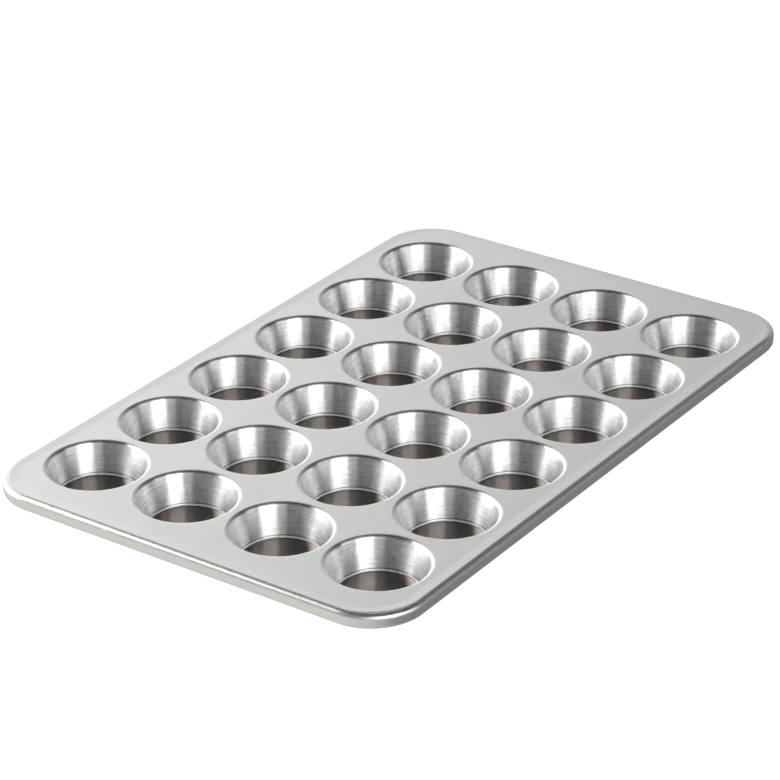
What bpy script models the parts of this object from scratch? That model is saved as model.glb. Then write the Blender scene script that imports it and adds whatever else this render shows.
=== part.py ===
"""Mini muffin tin: one pressed aluminium sheet with a grid of cups, its edge rolled round a steel wire.

The sheet is modelled as the regions that it is formed into, with a hairline gap between them: the
flat deck, each drawn cup, and the rolled edge. The wire lies loose inside the rolled edge.
Metres, +Z up, columns of cups along X and rows along Y. The origin is on the plane that the cup
floors stand on, below the middle of the tin.
"""
import math

import bmesh
import bpy
from mathutils import Vector

# Cup grid
COLUMNS = 6
ROWS = 4
COLUMN_PITCH = 0.0600
ROW_PITCH = 0.0595

# Sheet and cups. Bend radii are those of the top surface.
SHEET = 0.0010
CUP_DEPTH = 0.0175
FLOOR_RADIUS = 0.0213
FLOOR_BEND = 0.0004
MOUTH_RADIUS = 0.0281
MOUTH_BEND = 0.0022
FLANGE = 0.0005
DECK_TOP = CUP_DEPTH + SHEET

# Rolled edge. The half sizes and corner radius are those of its outermost face. The sheet rises a
# little, turns down over its top bend, runs down a short skirt and curls in round the wire.
RIM_HALF_X = 0.1981
RIM_HALF_Y = 0.1286
RIM_CORNER = 0.0300
RISE_RUN = 0.0050
RIM_RISE = 0.00015
TOP_BEND = 0.0030
SKIRT = 0.0026
CURL_RADIUS = 0.0030
CURL_END = -215.0
CURL_HEIGHT = RIM_RISE - TOP_BEND - SKIRT
WIRE_RADIUS = 0.0017

GAP = 0.0003
CUP_SEGMENTS = 20
CORNER_STEPS = 8
MOUTH_STEPS = 2
TOP_STEPS = 3
CURL_STEPS = 10
WIRE_SIDES = 8
SMOOTH_ANGLE = math.radians(40.0)


def clear_scene():
    for item in list(bpy.data.objects):
        bpy.data.objects.remove(item, do_unlink=True)


def metal(name, colour, roughness):
    """A metallic material with one colour and roughness."""
    material = bpy.data.materials.new(name)
    material.use_nodes = True
    shader = material.node_tree.nodes["Principled BSDF"]
    shader.inputs["Base Color"].default_value = (*colour, 1.0)
    shader.inputs["Roughness"].default_value = roughness
    shader.inputs["Metallic"].default_value = 1.0
    return material


def circle(radius, height, segments=CUP_SEGMENTS):
    """A level ring of points round the Z axis."""
    points = []
    for i in range(segments):
        angle = 2.0 * math.pi * i / segments
        points.append(Vector((radius * math.cos(angle), radius * math.sin(angle), height)))
    return points


def arc(centre, radius, start, end, steps):
    """Points of a section's arc, from one angle to another in degrees."""
    angles = [math.radians(start + (end - start) * i / steps) for i in range(steps + 1)]
    return [(centre[0] + radius * math.cos(a), centre[1] + radius * math.sin(a)) for a in angles]


def mesh_from_rings(name, rings, loop, material):
    """Skins a row of rings. A loop joins the last ring to the first, and a stack gets two end faces."""
    bm = bmesh.new()
    rows = [[bm.verts.new(point) for point in ring] for ring in rings]
    pairs = list(zip(rows, rows[1:]))
    if loop:
        pairs.append((rows[-1], rows[0]))
    else:
        bm.faces.new(rows[0])
        bm.faces.new(rows[-1])
    for first, second in pairs:
        for i in range(len(first)):
            bm.faces.new((first[i - 1], first[i], second[i], second[i - 1]))
    bmesh.ops.recalc_face_normals(bm, faces=bm.faces)
    mesh = bpy.data.meshes.new(name)
    bm.to_mesh(mesh)
    bm.free()
    mesh.shade_smooth()
    mesh.set_sharp_from_angle(angle=SMOOTH_ANGLE)
    mesh.materials.append(material)
    return mesh


def add_object(name, mesh, location=(0.0, 0.0, 0.0)):
    item = bpy.data.objects.new(name, mesh)
    item.location = location
    bpy.context.scene.collection.objects.link(item)
    return item


def cup_centres():
    """Row, column and place of each cup's axis on the deck's top."""
    for row in range(ROWS):
        for column in range(COLUMNS):
            x = (column - (COLUMNS - 1) / 2.0) * COLUMN_PITCH
            y = (row - (ROWS - 1) / 2.0) * ROW_PITCH
            yield row + 1, column + 1, Vector((x, y, DECK_TOP))


def wall_lean():
    """The wall's angle from upright: it is the straight line that touches both of its bends."""
    run = MOUTH_RADIUS - FLOOR_RADIUS
    drop = CUP_DEPTH - MOUTH_BEND - FLOOR_BEND
    reach = (MOUTH_BEND + FLOOR_BEND) / math.hypot(run, drop)
    return math.degrees(math.acos(reach) - math.atan2(drop, run))


def cup_side(below, mouth_steps):
    """Radius and height of a cup's surface, from its floor to its rim, at a depth inside the sheet."""
    lean = wall_lean()
    floor = arc((FLOOR_RADIUS, FLOOR_BEND - CUP_DEPTH), FLOOR_BEND + below, -90.0, -lean, 1)
    mouth = arc((MOUTH_RADIUS, -MOUTH_BEND), MOUTH_BEND - below, 180.0 - lean, 90.0, mouth_steps)
    return floor + mouth + [(MOUTH_RADIUS + FLANGE, -below)]


def cup_mesh(material):
    """One cup with its flange, hanging down from its origin at the deck's top."""
    inside = cup_side(0.0, MOUTH_STEPS)
    underside = cup_side(SHEET, 1)
    rings = [circle(radius, height) for radius, height in inside + underside[::-1]]
    return mesh_from_rings("cup", rings, False, material)


def rim_stations():
    """Places round the tin's outermost face, and the level way out of the tin at each."""
    stations = []
    for corner in range(4):
        side_x = 1 if corner in (0, 3) else -1
        side_y = 1 if corner in (0, 1) else -1
        centre = Vector((side_x * (RIM_HALF_X - RIM_CORNER), side_y * (RIM_HALF_Y - RIM_CORNER), 0.0))
        for step in range(CORNER_STEPS + 1):
            angle = math.radians(90.0 * (corner + step / CORNER_STEPS))
            outward = Vector((math.cos(angle), math.sin(angle), 0.0))
            stations.append((centre + RIM_CORNER * outward, outward))
    return stations


def rim_surface(below):
    """The rolled sheet's section at a depth inside it: distance out from the outermost face, and height."""
    rise = [
        (-TOP_BEND - RISE_RUN, -below),
        (-TOP_BEND - RISE_RUN / 2.0, RIM_RISE / 2.0 - below),
    ]
    turn = arc((-TOP_BEND, RIM_RISE - TOP_BEND), TOP_BEND - below, 90.0, 0.0, TOP_STEPS)
    curl = arc((-CURL_RADIUS, CURL_HEIGHT), CURL_RADIUS - below, 0.0, CURL_END, CURL_STEPS)
    return rise + turn + curl


def rim_ring(face, outward, section):
    """A section's outline stood up at one place round the tin."""
    return [face + out * outward + Vector((0.0, 0.0, DECK_TOP + height)) for out, height in section]


def rim_mesh(name, section, material):
    rings = [rim_ring(face, outward, section) for face, outward in rim_stations()]
    return mesh_from_rings(name, rings, True, material)


def rolled_rim_mesh(material):
    return rim_mesh("rolled_rim", rim_surface(0.0) + rim_surface(SHEET)[::-1], material)


def rim_wire_mesh(material):
    turn = 360.0 / WIRE_SIDES
    section = arc((-CURL_RADIUS, CURL_HEIGHT), WIRE_RADIUS, 0.0, 360.0 - turn, WIRE_SIDES - 1)
    return rim_mesh("rim_wire", section, material)


def deck_mesh(material):
    """The deck before its holes are cut."""
    inset = TOP_BEND + RISE_RUN + GAP
    outline = [face - inset * outward for face, outward in rim_stations()]
    heights = (DECK_TOP - SHEET, DECK_TOP)
    rings = [[point + Vector((0.0, 0.0, height)) for point in outline] for height in heights]
    return mesh_from_rings("deck_sheet", rings, False, material)


def cut_cup_holes(deck):
    """Cuts a hole in the deck for each cup, with one wire-drawn cutter."""
    radius = MOUTH_RADIUS + FLANGE + GAP
    bm = bmesh.new()
    for _, _, centre in cup_centres():
        rows = []
        for height in (-2.0 * SHEET, SHEET):
            rows.append([bm.verts.new(centre + point) for point in circle(radius, height)])
        bm.faces.new(rows[0])
        bm.faces.new(rows[1])
        for i in range(CUP_SEGMENTS):
            bm.faces.new((rows[0][i - 1], rows[0][i], rows[1][i], rows[1][i - 1]))
    bmesh.ops.recalc_face_normals(bm, faces=bm.faces)
    mesh = bpy.data.meshes.new("cup_hole_cutter")
    bm.to_mesh(mesh)
    bm.free()
    cutter = add_object("cup_hole_cutter", mesh)
    cutter.hide_render = True
    cutter.display_type = "WIRE"
    holes = deck.modifiers.new("cup_holes", "BOOLEAN")
    holes.operation = "DIFFERENCE"
    holes.solver = "EXACT"
    holes.object = cutter


def build():
    clear_scene()
    deck_metal = metal("deck_aluminium", (0.78, 0.78, 0.77), 0.38)
    cup_metal = metal("cup_aluminium", (0.80, 0.80, 0.80), 0.22)
    rim_metal = metal("rim_aluminium", (0.80, 0.80, 0.79), 0.30)
    wire_metal = metal("wire_steel", (0.55, 0.56, 0.57), 0.45)

    deck = add_object("deck_sheet", deck_mesh(deck_metal))
    cut_cup_holes(deck)
    cup = cup_mesh(cup_metal)
    for row, column, centre in cup_centres():
        add_object(f"cup_r{row}_c{column}", cup, centre)
    add_object("rolled_rim", rolled_rim_mesh(rim_metal))
    add_object("rim_wire", rim_wire_mesh(wire_metal))


build()
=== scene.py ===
"""A muffin tin in a bright studio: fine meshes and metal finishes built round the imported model."""
import math
import random

import bmesh
import bpy
from mathutils import Matrix, Vector


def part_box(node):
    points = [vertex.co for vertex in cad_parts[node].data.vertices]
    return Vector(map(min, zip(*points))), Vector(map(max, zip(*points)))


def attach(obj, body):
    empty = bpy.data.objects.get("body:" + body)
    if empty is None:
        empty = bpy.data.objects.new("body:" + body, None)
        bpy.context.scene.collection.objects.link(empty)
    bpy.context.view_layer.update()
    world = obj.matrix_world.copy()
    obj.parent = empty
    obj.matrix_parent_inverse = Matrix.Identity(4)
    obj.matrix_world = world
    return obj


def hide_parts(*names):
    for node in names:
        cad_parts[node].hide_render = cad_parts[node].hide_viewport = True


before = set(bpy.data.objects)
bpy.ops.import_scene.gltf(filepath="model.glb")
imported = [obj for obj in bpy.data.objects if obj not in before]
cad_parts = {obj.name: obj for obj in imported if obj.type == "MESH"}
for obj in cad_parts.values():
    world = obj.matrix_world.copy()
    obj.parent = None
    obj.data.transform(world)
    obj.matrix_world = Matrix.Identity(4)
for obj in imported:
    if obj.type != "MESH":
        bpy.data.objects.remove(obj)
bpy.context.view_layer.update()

MM = 0.001

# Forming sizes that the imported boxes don't give, as in the CAD model. Bend radii are of the top surface.
SHEET = 1.0 * MM
FLOOR_RADIUS = 21.3 * MM
FLOOR_BEND = 0.4 * MM
MOUTH_BEND = 2.2 * MM
FLANGE = 0.5 * MM
RIM_CORNER = 30.0 * MM
RISE_RUN = 5.0 * MM
RIM_RISE = 0.15 * MM
TOP_BEND = 3.0 * MM
SKIRT = 2.6 * MM
CURL_RADIUS = 3.0 * MM
CURL_END = -215.0
CURL_HEIGHT = RIM_RISE - TOP_BEND - SKIRT
WIRE_RADIUS = 1.7 * MM

DECK_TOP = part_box("deck_sheet")[1].z
RIM_HALF_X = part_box("rolled_rim")[1].x
RIM_HALF_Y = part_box("rolled_rim")[1].y

# Fineness of the visual meshes. The middle of a cup's floor is one face, a small part of its radius.
CUP_SEGMENTS = 96
MIDDLE_PART = 0.08
FLOOR_STEPS = 4
FILLET_STEPS = 6
GROOVE_STEPS = 8
WALL_STEPS = 5
MOUTH_STEPS = 9
UNDER_MOUTH_STEPS = 4
CORNER_STEPS = 48
STRAIGHT_STEP = 1.5 * MM
RISE_STEPS = 12
TOP_STEPS = 14
SKIRT_STEPS = 3
CURL_STEPS = 24
WIRE_SIDES = 24
SMOOTH_ANGLE = math.radians(40.0)

# How far a cup's finishes reach: the bend's takes in the wall's first two bands, and the deck's covers the
# last steps of the mouth
BEND_BANDS = FILLET_STEPS + 2
DECK_FINISH_STEPS = 3

# Marks of forming and use, and painted shade. A groove and a dark line of painted shade run round each
# cup's wall:
# the groove's rise is along the wall from its bend, and the line's is from the floor.
GROOVE_DEPTH = 0.10 * MM
GROOVE_WIDTH = 0.30 * MM
GROOVE_RISE = 0.7 * MM
GROOVE_TOP = 2.2 * GROOVE_RISE
GROOVE_STEP = GROOVE_RISE / 4.5
# Height above the floor of the dark line of painted shade
SHADE_LINE_RISE = 1.2 * MM
OUT_OF_ROUND = 0.08 * MM
PUCKER_DEPTH = 0.05 * MM
PUCKER_LENGTH = 7.0 * MM
CORNER_GROOVE = 0.16 * MM
CORNER_GROOVE_WIDTH = 0.55 * MM
CORNER_GROOVE_OUT = 0.3 * MM
DENTS = 16
DENT_HEIGHT = 1.3 * MM
DENT_TAIL = 3.0
DENTED_REACH = 1.2 * TOP_BEND
CUP_SEED = 11
DENT_SEED = 5

# Camera
VIEW_AZIMUTH = math.radians(54.4)
VIEW_ELEVATION = math.radians(27.2)
VIEW_ROLL = math.radians(-0.9)
VIEW_DISTANCE = 1.663
VIEW_TARGET = Vector((0.0033, 0.0118, DECK_TOP))
LENS = 142.0
SENSOR = 36.0
FAR_CLIP = 20.0

# Studio. A ramp's stops are places from 0 to 1 with a grey level or a colour. Places go by the direction
# that a reflection comes from: up, across to the right, and forwards as the camera looks.
CEILING = (0.050, 0.052, 0.056)
DIM_ROOM_UP = [(0.5, 0.30), (0.58, 0.18), (0.72, 0.11), (0.80, 0.06), (0.88, CEILING)]
BRIGHT_ROOM_UP = [(0.46, 1.5), (0.60, 1.5), (0.72, 1.5), (0.79, 1.1), (0.83, 0.22), (0.88, CEILING)]
BRIGHT_ACROSS = [(0.40, 1.0), (0.5, 0.64), (0.60, 0.30), (0.74, 0.22), (0.86, 0.06)]
BRIGHT_FORWARDS = [(0.42, 0.0), (0.66, 1.0)]
TABLE_ACROSS = [(0.10, (0.76, 0.74, 0.71)), (0.5, (0.60, 0.59, 0.57)), (0.80, (0.22, 0.22, 0.205))]
BELOW_HORIZON = [(0.46, 1.0), (0.50, 0.0)]
BACKDROP = (0.96, 0.96, 0.96)
TABLE_SIZE = 12.0
TABLE_GLOW = 0.92

# Soft lights: bearing and elevation in degrees, distance, width and height in metres, and radiance
SOFTBOXES = {
    "left_softbox": (283.0, 24.0, 1.9, 1.60, 1.5, 3.5),
    "key_softbox": (154.5, 22.0, 1.5, 0.92, 0.9, 2.8),
    "key_spill": (177.0, 22.0, 1.7, 0.95, 1.0, 0.60),
    "fill_card": (118.0, 20.0, 1.8, 0.80, 0.9, 1.5),
    "room_card": (212.0, 24.0, 1.9, 2.2, 1.2, 0.14),
}


# ---------------------------------------------------------------- meshes

def arc(centre, radius, start, end, steps):
    """Points of a section's arc, from one angle to another in degrees."""
    angles = [math.radians(start + (end - start) * i / steps) for i in range(steps + 1)]
    return [(centre[0] + radius * math.cos(a), centre[1] + radius * math.sin(a)) for a in angles]


def bump_shape(distance, width):
    """A smooth bump of height 1 at distance 0."""
    return math.exp(-(distance / width) ** 2)


def finish_mesh(name, vertices, faces, slots):
    """A mesh with its faces turned outwards, smooth but for its sharp edges."""
    mesh = bpy.data.meshes.new(name)
    mesh.from_pydata(vertices, [], faces)
    mesh.polygons.foreach_set("material_index", slots)
    bm = bmesh.new()
    bm.from_mesh(mesh)
    bmesh.ops.recalc_face_normals(bm, faces=bm.faces)
    bm.to_mesh(mesh)
    bm.free()
    mesh.shade_smooth()
    mesh.set_sharp_from_angle(angle=SMOOTH_ANGLE)
    return mesh


def skin(name, rings, loop, band_slots=None, side_slots=None):
    """Skins a row of rings of points. A loop joins its ends, and a stack gets two end faces.

    Material slots go by band, from ring to ring, or by side, from point to point of a ring. An end face
    takes the slot of the band beside it.
    """
    count = len(rings[0])
    vertices = [tuple(point) for ring in rings for point in ring]
    bands = len(rings) if loop else len(rings) - 1
    band_slots = band_slots or [0] * bands
    faces, slots = [], []
    for band in range(bands):
        first = band * count
        second = (band + 1) % len(rings) * count
        for i in range(count):
            j = (i + 1) % count
            faces.append((first + i, first + j, second + j, second + i))
            slots.append(side_slots[i] if side_slots else band_slots[band])
    if not loop:
        last = (len(rings) - 1) * count
        faces += [tuple(range(count)), tuple(range(last, last + count))]
        slots += [band_slots[0], band_slots[-1]]
    return finish_mesh(name, vertices, faces, slots)


def add_piece(name, mesh, nodes, materials, location=(0.0, 0.0, 0.0)):
    """Adds a piece that stands for CAD nodes and rides on the tin's one body."""
    piece = bpy.data.objects.new(name, mesh)
    piece.location = location
    bpy.context.scene.collection.objects.link(piece)
    for material in materials:
        mesh.materials.append(material)
    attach(piece, "root")
    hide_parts(*nodes)


# ---------------------------------------------------------------- cups

def cup_nodes():
    return sorted(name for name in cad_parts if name.startswith("cup_r"))


def cup_place(name):
    """The middle of a cup's mouth, and its flange's radius."""
    low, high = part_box(name)
    return Vector(((low.x + high.x) / 2.0, (low.y + high.y) / 2.0, DECK_TOP)), (high.x - low.x) / 2.0


CUP_DEPTH = DECK_TOP - SHEET
FLANGE_RADIUS = cup_place("cup_r1_c1")[1]
MOUTH_RADIUS = FLANGE_RADIUS - FLANGE
WALL_SLOT, DECK_SLOT, FLOOR_SLOT, BEND_SLOT = range(4)


def wall_lean():
    """The wall's angle from upright: it is the straight line that touches both of its bends."""
    run = MOUTH_RADIUS - FLOOR_RADIUS
    drop = CUP_DEPTH - MOUTH_BEND - FLOOR_BEND
    reach = (MOUTH_BEND + FLOOR_BEND) / math.hypot(run, drop)
    return math.degrees(math.acos(reach) - math.atan2(drop, run))


def cup_profile():
    """Radius and height of a cup's top surface, from its middle out to its flange."""
    lean = wall_lean()
    floor = []
    for step in range(FLOOR_STEPS):
        part = MIDDLE_PART + (1.0 - MIDDLE_PART) * step / FLOOR_STEPS
        floor.append((FLOOR_RADIUS * part, -CUP_DEPTH))
    fillet = arc((FLOOR_RADIUS, FLOOR_BEND - CUP_DEPTH), FLOOR_BEND, -90.0, -lean, FILLET_STEPS)
    mouth = arc((MOUTH_RADIUS, -MOUTH_BEND), MOUTH_BEND, 180.0 - lean, 90.0, MOUTH_STEPS)
    start, end = Vector(fillet[-1]), Vector(mouth[0])
    along = (end - start).normalized()
    outwards = Vector((along.y, -along.x))
    wall = []
    for step in range(1, GROOVE_STEPS + 1):
        rise = GROOVE_STEP * step
        depth = GROOVE_DEPTH * bump_shape(rise - GROOVE_RISE, GROOVE_WIDTH)
        wall.append(tuple(start + rise * along + depth * outwards))
    low = start + GROOVE_TOP * along
    wall += [tuple(low.lerp(end, step / WALL_STEPS)) for step in range(WALL_STEPS)]
    return floor + fillet + wall + mouth + [(FLANGE_RADIUS, 0.0)]


def cup_underside():
    """Radius and height of a cup's lower surface, from its flange in to its middle."""
    lean = wall_lean()
    mouth = arc((MOUTH_RADIUS, -MOUTH_BEND), MOUTH_BEND - SHEET, 90.0, 180.0 - lean, UNDER_MOUTH_STEPS)
    fillet = arc((FLOOR_RADIUS, FLOOR_BEND - CUP_DEPTH), FLOOR_BEND + SHEET, -lean, -90.0, FILLET_STEPS)
    middle = [(FLOOR_RADIUS * part, -CUP_DEPTH - SHEET) for part in (0.6, MIDDLE_PART)]
    return [(FLANGE_RADIUS, -SHEET)] + mouth + fillet + middle


def cup_mesh(name, rng):
    """One cup, a little out of round below its mouth."""
    lobes = []
    for n in (2, 3, 4, 5):
        lobes.append((n, OUT_OF_ROUND * rng.uniform(0.2, 1.0) / n, rng.uniform(0.0, math.tau)))
    profile = cup_profile()
    outline = profile + cup_underside()
    rings = []
    for radius, height in outline:
        below = min(max(-height - SHEET, 0.0) / CUP_DEPTH, 1.0)
        fade = 4.0 * below * (1.0 - below)
        ring = []
        for i in range(CUP_SEGMENTS):
            angle = math.tau * i / CUP_SEGMENTS
            spread = radius + fade * sum(size * math.cos(n * angle + turn) for n, size, turn in lobes)
            ring.append((spread * math.cos(angle), spread * math.sin(angle), height))
        rings.append(ring)
    band_slots = [WALL_SLOT] * (len(rings) - 1)
    band_slots[:FLOOR_STEPS] = [FLOOR_SLOT] * FLOOR_STEPS
    band_slots[FLOOR_STEPS:FLOOR_STEPS + BEND_BANDS] = [BEND_SLOT] * BEND_BANDS
    flange = len(profile) - 2
    for band in range(flange - DECK_FINISH_STEPS, flange + 1):
        band_slots[band] = DECK_SLOT
    return skin(name, rings, False, band_slots)


def build_cups(metals):
    rng = random.Random(CUP_SEED)
    for node in cup_nodes():
        place, _ = cup_place(node)
        mesh = cup_mesh(node + "_drawn", rng)
        add_piece(node + "_drawn", mesh, [node], metals, place)


# ---------------------------------------------------------------- rolled edge

def rim_stations():
    """Places round the outermost face, each with the way out of the tin, its travel and its bend.

    Bend is 0 along the sides and 1 in the middle of a corner.
    """
    places = []
    for corner in range(4):
        side_x = 1 if corner in (0, 3) else -1
        side_y = 1 if corner in (0, 1) else -1
        centre = Vector((side_x * (RIM_HALF_X - RIM_CORNER), side_y * (RIM_HALF_Y - RIM_CORNER), 0.0))
        for step in range(CORNER_STEPS + 1):
            angle = math.radians(90.0 * (corner + step / CORNER_STEPS))
            outward = Vector((math.cos(angle), math.sin(angle), 0.0))
            bend = math.sin(math.pi * step / CORNER_STEPS)
            places.append((centre + RIM_CORNER * outward, outward, bend))
        along = Vector((-outward.y, outward.x, 0.0))
        half = RIM_HALF_Y if corner in (1, 3) else RIM_HALF_X
        length = 2.0 * (half - RIM_CORNER)
        count = round(length / STRAIGHT_STEP)
        for _ in range(1, count):
            places.append((places[-1][0] + along * length / count, outward, 0.0))
    stations, travel = [], 0.0
    for i, (face, outward, bend) in enumerate(places):
        if i:
            travel += (face - places[i - 1][0]).length
        stations.append((face, outward, travel, bend))
    return stations


def rim_surface(below):
    """The rolled sheet's section at a depth inside it, as pairs of distance out and height.

    Distance is from the outermost face, and height from the deck's top.
    """
    rise = []
    for step in range(RISE_STEPS):
        part = step / RISE_STEPS
        rise.append((-TOP_BEND - RISE_RUN * (1.0 - part), RIM_RISE * part - below))
    turn = arc((-TOP_BEND, RIM_RISE - TOP_BEND), TOP_BEND - below, 90.0, 0.0, TOP_STEPS)
    skirt_top = RIM_RISE - TOP_BEND
    skirt = [(-below, skirt_top - SKIRT * step / SKIRT_STEPS) for step in range(1, SKIRT_STEPS)]
    curl = arc((-CURL_RADIUS, CURL_HEIGHT), CURL_RADIUS - below, 0.0, CURL_END, CURL_STEPS)
    return rise + turn + skirt + curl


def rim_section(travel, bend):
    """The rolled sheet's outline, with a shallow groove and puckers where a corner was gathered in."""
    puckers = PUCKER_DEPTH * math.sin(math.tau * travel / PUCKER_LENGTH)
    outline = []
    for out, height in rim_surface(0.0) + rim_surface(SHEET)[::-1]:
        if height > CURL_HEIGHT + SKIRT:
            groove = bump_shape(out + TOP_BEND - CORNER_GROOVE_OUT, CORNER_GROOVE_WIDTH)
            height -= bend * (CORNER_GROOVE + puckers) * groove
        outline.append((out, height))
    return outline


def dents_of(total, rng):
    """Small dents round the edge: travel, lift over the curl's middle in radii, length and depth."""
    dents = []
    for _ in range(DENTS):
        dents.append((rng.uniform(0.0, total), rng.uniform(-0.9, 1.0),
                      rng.uniform(1.2, 2.6) * MM, rng.uniform(0.05, 0.16) * MM))
    return dents


def dented(out, height, travel, dents):
    """Moves a point of the edge's outside in where a dent is. Points on the deck's side stay put."""
    if out < -DENTED_REACH:
        return out, height
    push = 0.0
    for place, lift, length, depth in dents:
        if abs(travel - place) < DENT_TAIL * length:
            level = CURL_HEIGHT + lift * CURL_RADIUS
            push += depth * bump_shape(travel - place, length) * bump_shape(height - level, DENT_HEIGHT)
    return out - push, height


def ring_at(face, outward, section):
    """A section's outline stood up at one place round the edge."""
    return [face + out * outward + Vector((0.0, 0.0, DECK_TOP + height)) for out, height in section]


def add_lay(mesh, travels, total, lays):
    """Stores where each point lies on its strip, round a circle as long as the edge, and across it."""
    radius = total / math.tau
    lay = mesh.attributes.new("lay", "FLOAT_VECTOR", "POINT")
    values = []
    for travel in travels:
        turn = travel / radius
        for across in lays:
            values += [radius * math.cos(turn), radius * math.sin(turn), across]
    lay.data.foreach_set("vector", values)


def section_lengths(section):
    """Length along a section's outline up to each of its points."""
    lengths = [0.0]
    for first, second in zip(section, section[1:]):
        lengths.append(lengths[-1] + math.dist(first, second))
    return lengths


EDGE_SLOT, RISE_SLOT = range(2)


def build_rim(rim_metal, deck_metal, wire_metal, stations):
    """The rolled edge, whose rise from the deck has the deck's finish, and the wire inside it."""
    total = stations[-1][2] + STRAIGHT_STEP
    dents = dents_of(total, random.Random(DENT_SEED))
    travels = [station[2] for station in stations]
    rings = []
    for face, outward, travel, bend in stations:
        section = rim_section(travel, bend)
        outer = len(section) // 2
        moved = [dented(out, height, travel, dents) if i < outer else (out, height)
                 for i, (out, height) in enumerate(section)]
        rings.append(ring_at(face, outward, moved))
    side_slots = [RISE_SLOT if i < RISE_STEPS else EDGE_SLOT for i in range(len(rings[0]))]
    mesh = skin("rolled_edge", rings, True, side_slots=side_slots)
    add_lay(mesh, travels, total, section_lengths(rim_section(0.0, 0.0)))
    add_piece("rolled_edge", mesh, ["rolled_rim"], [rim_metal, deck_metal])

    turn = 360.0 / WIRE_SIDES
    round_section = arc((-CURL_RADIUS, CURL_HEIGHT), WIRE_RADIUS, 0.0, 360.0 - turn, WIRE_SIDES - 1)
    rings = [ring_at(face, outward, round_section) for face, outward, _, _ in stations]
    mesh = skin("stiffening_wire", rings, True)
    add_lay(mesh, travels, total, section_lengths(round_section))
    add_piece("stiffening_wire", mesh, ["rim_wire"], [wire_metal])


# ---------------------------------------------------------------- deck

def deck_outlines(stations):
    """The deck's outer outline, which is the rolled edge's inner line, and the cups' flange circles."""
    outlines = [[face - (TOP_BEND + RISE_RUN) * outward for face, outward, _, _ in stations]]
    for node in cup_nodes():
        centre, _ = cup_place(node)
        circle = []
        for i in range(CUP_SEGMENTS):
            angle = math.tau * i / CUP_SEGMENTS
            circle.append(Vector((centre.x + FLANGE_RADIUS * math.cos(angle),
                                  centre.y + FLANGE_RADIUS * math.sin(angle), 0.0)))
        outlines.append(circle)
    return outlines


def build_deck(deck_metal, stations):
    bm = bmesh.new()
    edges = []
    for outline in deck_outlines(stations):
        loop = [bm.verts.new((point.x, point.y, DECK_TOP - SHEET)) for point in outline]
        edges += [bm.edges.new((loop[i - 1], loop[i])) for i in range(len(loop))]
    bmesh.ops.triangle_fill(bm, edges=edges, use_beauty=True)
    lower = list(bm.faces)
    raised = bmesh.ops.extrude_face_region(bm, geom=lower, use_keep_orig=True)["geom"]
    for item in raised:
        if isinstance(item, bmesh.types.BMVert):
            item.co.z = DECK_TOP
    bmesh.ops.recalc_face_normals(bm, faces=bm.faces)
    mesh = bpy.data.meshes.new("deck_plate")
    bm.to_mesh(mesh)
    bm.free()
    mesh.shade_smooth()
    mesh.set_sharp_from_angle(angle=SMOOTH_ANGLE)
    add_piece("deck_plate", mesh, ["deck_sheet"], [deck_metal])


# ---------------------------------------------------------------- finishes

class Finish:
    """A metal's node tree, with short calls for the nodes that the finishes share."""

    def __init__(self, name, anisotropy=0.0, lay_turn=0.0):
        self.material = bpy.data.materials.new(name)
        self.material.use_nodes = True
        self.tree = self.material.node_tree
        self.shader = self.tree.nodes["Principled BSDF"]
        self.shader.inputs["Metallic"].default_value = 1.0
        self.shader.inputs["Anisotropic"].default_value = anisotropy
        self.shader.inputs["Anisotropic Rotation"].default_value = lay_turn

    def add(self, kind, inputs, **settings):
        """Adds a node. Each input is a number, a tuple or another node's output."""
        node = self.tree.nodes.new(kind)
        for key, value in settings.items():
            setattr(node, key, value)
        for key, value in inputs.items():
            if isinstance(value, bpy.types.NodeSocket):
                self.tree.links.new(value, node.inputs[key])
            else:
                node.inputs[key].default_value = value
        return node

    def maths(self, operation, *values):
        return self.add("ShaderNodeMath", dict(enumerate(values)), operation=operation).outputs[0]

    def stretched(self, vector, scale):
        """A place divided by the size, in metres, of the pattern in each direction."""
        sizes = tuple(1.0 / size for size in scale)
        node = self.add("ShaderNodeVectorMath", {0: vector, 1: sizes}, operation="MULTIPLY")
        return node.outputs[0]

    def noise(self, vector, scale, detail=2.0):
        """Noise from about 0 to 1 whose grains are as long as the scale in each direction."""
        place = self.stretched(vector, scale)
        node = self.add("ShaderNodeTexNoise", {"Vector": place, "Scale": 1.0, "Detail": detail})
        return node.outputs["Fac"]

    def ranged(self, value, low, high, to_low, to_high):
        """Maps a range onto another and holds it at both ends."""
        node = self.add("ShaderNodeMapRange", {0: value, 1: low, 2: high, 3: to_low, 4: to_high})
        return node.outputs[0]

    def scratches(self, vector, long, wide, cover):
        """Rare fine lines: 1 on a line and 0 elsewhere."""
        lines = self.noise(vector, (long, wide, wide), 0.0)
        return self.ranged(lines, cover, cover + 0.04, 0.0, 1.0)

    def turned(self, vector, degrees):
        node = self.add("ShaderNodeVectorRotate", {"Vector": vector, "Angle": math.radians(degrees)},
                        rotation_type="Z_AXIS")
        return node.outputs[0]

    def tint(self, value, dark, light):
        """A colour between two, chosen by a value from 0 to 1."""
        node = self.add("ShaderNodeMix", {"Factor": value, "A": (*dark, 1.0), "B": (*light, 1.0)},
                        data_type="RGBA")
        self.tree.links.new(node.outputs["Result"], self.shader.inputs["Base Color"])

    def roughness(self, value):
        self.tree.links.new(value, self.shader.inputs["Roughness"])

    def bumps(self, layers):
        """Stacks bumps, each given as a height from 0 to 1 and its depth in metres."""
        normal = None
        for height, depth in layers:
            inputs = {"Height": height, "Distance": depth, "Strength": 1.0}
            if normal:
                inputs["Normal"] = normal
            normal = self.add("ShaderNodeBump", inputs).outputs[0]
        self.tree.links.new(normal, self.shader.inputs["Normal"])


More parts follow.
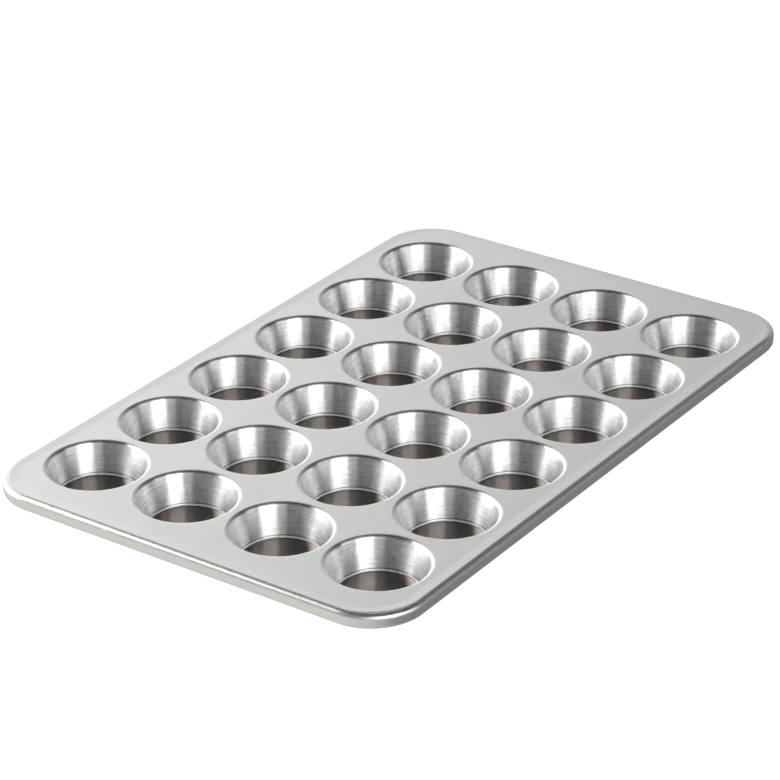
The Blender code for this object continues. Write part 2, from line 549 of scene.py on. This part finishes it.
def deck_finish():
    """Satin sheet with a faint mill grain along the tin, soft blotches and a few hair scratches."""
    f = Finish("deck_mill_finish")
    place = f.add("ShaderNodeNewGeometry", {}).outputs["Position"]
    grain = f.noise(place, (11.0 * MM, 0.6 * MM, 11.0 * MM), 3.0)
    fine = f.noise(place, (0.7 * MM, 0.7 * MM, 0.7 * MM), 2.0)
    blotch = f.noise(place, (32.0 * MM, 20.0 * MM, 20.0 * MM), 3.0)
    hairs = f.maths("MAXIMUM", f.scratches(f.turned(place, 23.0), 14.0 * MM, 0.22 * MM, 0.76),
                    f.scratches(f.turned(place, -58.0), 10.0 * MM, 0.20 * MM, 0.78))
    f.tint(f.maths("ADD", f.maths("MULTIPLY", grain, 0.6), f.maths("MULTIPLY", blotch, 0.4)),
           (0.79, 0.79, 0.78), (0.96, 0.96, 0.95))
    rough = f.maths("ADD", f.ranged(blotch, 0.3, 0.7, 0.35, 0.40), f.maths("MULTIPLY", fine, 0.04))
    f.roughness(f.maths("SUBTRACT", rough, f.maths("MULTIPLY", hairs, 0.08)))
    f.bumps([(blotch, 0.09 * MM), (grain, 0.003 * MM), (fine, 0.008 * MM), (hairs, -0.004 * MM)])
    return f.material


def round_cup(f):
    """Coordinates that run round a cup and down its wall, different on every cup."""
    place = f.add("ShaderNodeTexCoord", {}).outputs["Object"]
    x, y, z = f.add("ShaderNodeSeparateXYZ", {"Vector": place}).outputs
    radius = f.maths("SQRT", f.maths("ADD", f.maths("MULTIPLY", x, x), f.maths("MULTIPLY", y, y)))
    safe = f.maths("MAXIMUM", radius, 1.0 * MM)
    own = f.add("ShaderNodeObjectInfo", {}).outputs["Location"]
    spread = {0: own, 1: (37.0, 53.0, 0.0)}
    offset = f.add("ShaderNodeVectorMath", spread, operation="MULTIPLY").outputs[0]
    around = {"X": f.maths("MULTIPLY", f.maths("DIVIDE", x, safe), MOUTH_RADIUS),
              "Y": f.maths("MULTIPLY", f.maths("DIVIDE", y, safe), MOUTH_RADIUS),
              "Z": f.maths("SUBTRACT", radius, z)}
    turned = f.add("ShaderNodeCombineXYZ", around).outputs[0]
    return f.add("ShaderNodeVectorMath", {0: turned, 1: offset}, operation="ADD").outputs[0]


def cup_finish():
    """Drawn wall: fine rings, broken streaks, wiping marks and a dark line of painted shade above the
    floor.
    """
    f = Finish("cup_drawn_finish", anisotropy=0.93, lay_turn=0.25)
    f.tree.links.new(f.add("ShaderNodeTangent", {}, direction_type="RADIAL", axis="Z").outputs[0],
                     f.shader.inputs["Tangent"])
    lay = round_cup(f)
    rings = f.noise(lay, (16.0 * MM, 16.0 * MM, 0.45 * MM), 3.0)
    streaks = f.noise(lay, (4.0 * MM, 4.0 * MM, 0.6 * MM), 2.0)
    wipe = f.noise(lay, (24.0 * MM, 24.0 * MM, 9.0 * MM), 2.0)
    place = f.add("ShaderNodeTexCoord", {}).outputs["Object"]
    height = f.add("ShaderNodeSeparateXYZ", {"Vector": place}).outputs["Z"]
    # A dark line of painted shade, standing in for the shaded band just above the floor's bend, is taken
    # off the wall's colour
    off_shade_line = f.maths("ABSOLUTE", f.maths("SUBTRACT", height, SHADE_LINE_RISE - CUP_DEPTH))
    line = f.ranged(off_shade_line, 0.15 * MM, 0.45 * MM, 0.55, 0.0)
    shine = f.ranged(f.maths("ADD", rings, streaks), 0.75, 1.25, 0.7, 1.0)
    f.tint(f.maths("SUBTRACT", shine, line), (0.10, 0.10, 0.105), (0.97, 0.97, 0.965))
    f.roughness(f.maths("ADD", f.ranged(wipe, 0.3, 0.7, 0.25, 0.30), f.maths("MULTIPLY", rings, 0.06)))
    f.bumps([(wipe, 0.04 * MM), (streaks, 0.055 * MM), (rings, 0.010 * MM)])
    return f.material


def floor_finish():
    """Cup floor: smooth, a little stained by use and darkened with painted shade, with faint turning
    rings.
    """
    f = Finish("cup_floor_finish_and_shade")
    lay = round_cup(f)
    place = f.add("ShaderNodeTexCoord", {}).outputs["Object"]
    rings = f.noise(lay, (30.0 * MM, 30.0 * MM, 0.6 * MM), 2.0)
    stain = f.noise(place, (7.0 * MM, 7.0 * MM, 7.0 * MM), 3.0)
    # The floor's dark colours are painted shade for its dim reflection, with a brown tint of stain over it
    f.tint(f.maths("ADD", f.maths("MULTIPLY", stain, 0.7), f.maths("MULTIPLY", rings, 0.3)),
           (0.30, 0.26, 0.23), (0.56, 0.52, 0.48))
    f.roughness(f.ranged(stain, 0.3, 0.7, 0.15, 0.22))
    f.bumps([(stain, 0.015 * MM), (rings, 0.002 * MM)])
    return f.material


def bend_finish():
    """The bend round a cup's floor: pale, even and duller than the wall."""
    f = Finish("cup_bend_finish")
    rub = f.noise(round_cup(f), (5.0 * MM, 5.0 * MM, 1.0 * MM), 2.0)
    f.tint(rub, (0.84, 0.84, 0.83), (0.98, 0.98, 0.97))
    f.roughness(f.ranged(rub, 0.3, 0.7, 0.50, 0.62))
    f.bumps([(rub, 0.010 * MM)])
    return f.material


def strip_finish(name, dark, light, low, high):
    """Metal with marks along its length: long lines, scuffs and gentle waves, between two roughnesses."""
    f = Finish(name)
    lay = f.add("ShaderNodeAttribute", {}, attribute_name="lay").outputs["Vector"]
    lines = f.noise(lay, (16.0 * MM, 16.0 * MM, 0.3 * MM), 2.0)
    scuffs = f.noise(lay, (3.0 * MM, 3.0 * MM, 1.2 * MM), 3.0)
    waves = f.noise(lay, (26.0 * MM, 26.0 * MM, 6.0 * MM), 2.0)
    f.tint(f.maths("MULTIPLY", f.maths("ADD", lines, scuffs), 0.5), dark, light)
    f.roughness(f.maths("ADD", f.ranged(scuffs, 0.3, 0.7, low, high), f.maths("MULTIPLY", lines, 0.04)))
    f.bumps([(waves, 0.08 * MM), (scuffs, 0.010 * MM), (lines, 0.004 * MM)])
    return f.material


# ---------------------------------------------------------------- studio

def towards(bearing, elevation):
    """A direction by its bearing, turned clockwise from the way the camera looks, and its elevation."""
    turn = VIEW_AZIMUTH + math.radians(bearing)
    rise = math.radians(elevation)
    return Vector((math.sin(turn) * math.cos(rise), math.cos(turn) * math.cos(rise), math.sin(rise)))


def add_camera():
    ahead = towards(0.0, -math.degrees(VIEW_ELEVATION))
    right = Vector((math.cos(VIEW_AZIMUTH), -math.sin(VIEW_AZIMUTH), 0.0))
    up = right.cross(ahead)
    level = Matrix((right, up, -ahead)).transposed()
    turn = Matrix.Rotation(VIEW_ROLL, 3, "Z")
    data = bpy.data.cameras.new("camera")
    data.lens = LENS
    data.sensor_width = SENSOR
    data.clip_end = FAR_CLIP
    camera = bpy.data.objects.new("camera", data)
    place = Matrix.Translation(VIEW_TARGET - VIEW_DISTANCE * ahead)
    camera.matrix_world = place @ (level @ turn).to_4x4()
    bpy.context.scene.collection.objects.link(camera)
    bpy.context.scene.camera = camera


def softbox(name, bearing, elevation, distance, width, height, radiance):
    """A soft white light that faces the tin."""
    data = bpy.data.lights.new(name, "AREA")
    data.shape = "RECTANGLE"
    data.size = width
    data.size_y = height
    data.energy = radiance * math.pi * width * height
    lamp = bpy.data.objects.new(name, data)
    out = towards(bearing, elevation)
    lamp.location = distance * out
    lamp.rotation_euler = out.to_track_quat("Z", "Y").to_euler()
    lamp.visible_camera = False
    bpy.context.scene.collection.objects.link(lamp)


def ramp(tree, value, stops):
    """A colour ramp from a list of places and grey levels or colours."""
    node = tree.nodes.new("ShaderNodeValToRGB")
    elements = node.color_ramp.elements
    while len(elements) < len(stops):
        elements.new(1.0)
    for element, (place, level) in zip(elements, stops):
        element.position = place
        element.color = (*level, 1.0) if isinstance(level, tuple) else (level, level, level, 1.0)
    tree.links.new(value, node.inputs[0])
    return node.outputs[0]


def scaled(tree, value):
    """Maps -1 to 1 onto 0 to 1."""
    node = tree.nodes.new("ShaderNodeMapRange")
    node.inputs[1].default_value = -1.0
    tree.links.new(value, node.inputs[0])
    return node.outputs[0]


def mixed(tree, factor, first, second):
    """The first colour where the factor is 0, and the second where it is 1."""
    node = tree.nodes.new("ShaderNodeMix")
    node.data_type = "RGBA"
    tree.links.new(factor, node.inputs["Factor"])
    tree.links.new(first, node.inputs["A"])
    tree.links.new(second, node.inputs["B"])
    return node.outputs["Result"]


def product(tree, first, second):
    node = tree.nodes.new("ShaderNodeMath")
    node.operation = "MULTIPLY"
    tree.links.new(first, node.inputs[0])
    tree.links.new(second, node.inputs[1])
    return node.outputs[0]


def add_world():
    """A room that is bright ahead of the camera and to its left, dim elsewhere, with a dark ceiling."""
    world = bpy.data.worlds.new("studio")
    bpy.context.scene.world = world
    world.use_nodes = True
    tree = world.node_tree
    background = tree.nodes["Background"]
    place = tree.nodes.new("ShaderNodeTexCoord").outputs["Generated"]
    turn = tree.nodes.new("ShaderNodeVectorRotate")
    turn.rotation_type = "Z_AXIS"
    turn.inputs["Angle"].default_value = VIEW_AZIMUTH
    tree.links.new(place, turn.inputs["Vector"])
    split = tree.nodes.new("ShaderNodeSeparateXYZ")
    tree.links.new(turn.outputs[0], split.inputs[0])

    across = scaled(tree, split.outputs["X"])
    forwards = scaled(tree, split.outputs["Y"])
    up = scaled(tree, split.outputs["Z"])
    bright = product(tree, ramp(tree, across, BRIGHT_ACROSS), ramp(tree, forwards, BRIGHT_FORWARDS))
    room = mixed(tree, bright, ramp(tree, up, DIM_ROOM_UP), ramp(tree, up, BRIGHT_ROOM_UP))
    surroundings = mixed(tree, ramp(tree, up, BELOW_HORIZON), room, ramp(tree, across, TABLE_ACROSS))
    tree.links.new(surroundings, background.inputs["Color"])

    backdrop = tree.nodes.new("ShaderNodeBackground")
    backdrop.inputs["Color"].default_value = (*BACKDROP, 1.0)
    seen = tree.nodes.new("ShaderNodeLightPath")
    choose = tree.nodes.new("ShaderNodeMixShader")
    tree.links.new(seen.outputs["Is Camera Ray"], choose.inputs[0])
    tree.links.new(background.outputs[0], choose.inputs[1])
    tree.links.new(backdrop.outputs[0], choose.inputs[2])
    tree.links.new(choose.outputs[0], tree.nodes["World Output"].inputs["Surface"])


def add_floor():
    """A pale table top that the cups stand on. It glows, to be even, and shows in no reflection."""
    bpy.ops.mesh.primitive_plane_add(size=TABLE_SIZE)
    floor = bpy.context.object
    floor.name = "floor"
    material = bpy.data.materials.new("floor_white")
    material.use_nodes = True
    shader = material.node_tree.nodes["Principled BSDF"]
    shader.inputs["Base Color"].default_value = (0.9, 0.9, 0.9, 1.0)
    shader.inputs["Roughness"].default_value = 0.8
    shader.inputs["Emission Color"].default_value = (1.0, 1.0, 1.0, 1.0)
    shader.inputs["Emission Strength"].default_value = TABLE_GLOW
    floor.data.materials.append(material)
    floor.visible_glossy = False


def add_lights():
    for name, sizes in SOFTBOXES.items():
        softbox(name, *sizes)


def build():
    deck_metal = deck_finish()
    rim_metal = strip_finish("rolled_edge_finish", dark=(0.76, 0.755, 0.745), light=(0.89, 0.885, 0.875),
                             low=0.28, high=0.37)
    wire_metal = strip_finish("wire_zinc_finish", dark=(0.42, 0.43, 0.44), light=(0.60, 0.61, 0.62),
                              low=0.40, high=0.52)
    stations = rim_stations()
    build_deck(deck_metal, stations)
    build_cups([cup_finish(), deck_metal, floor_finish(), bend_finish()])
    build_rim(rim_metal, deck_metal, wire_metal, stations)
    add_camera()
    add_world()
    add_floor()
    add_lights()
    bpy.context.scene.view_settings.view_transform = "Standard"


build()
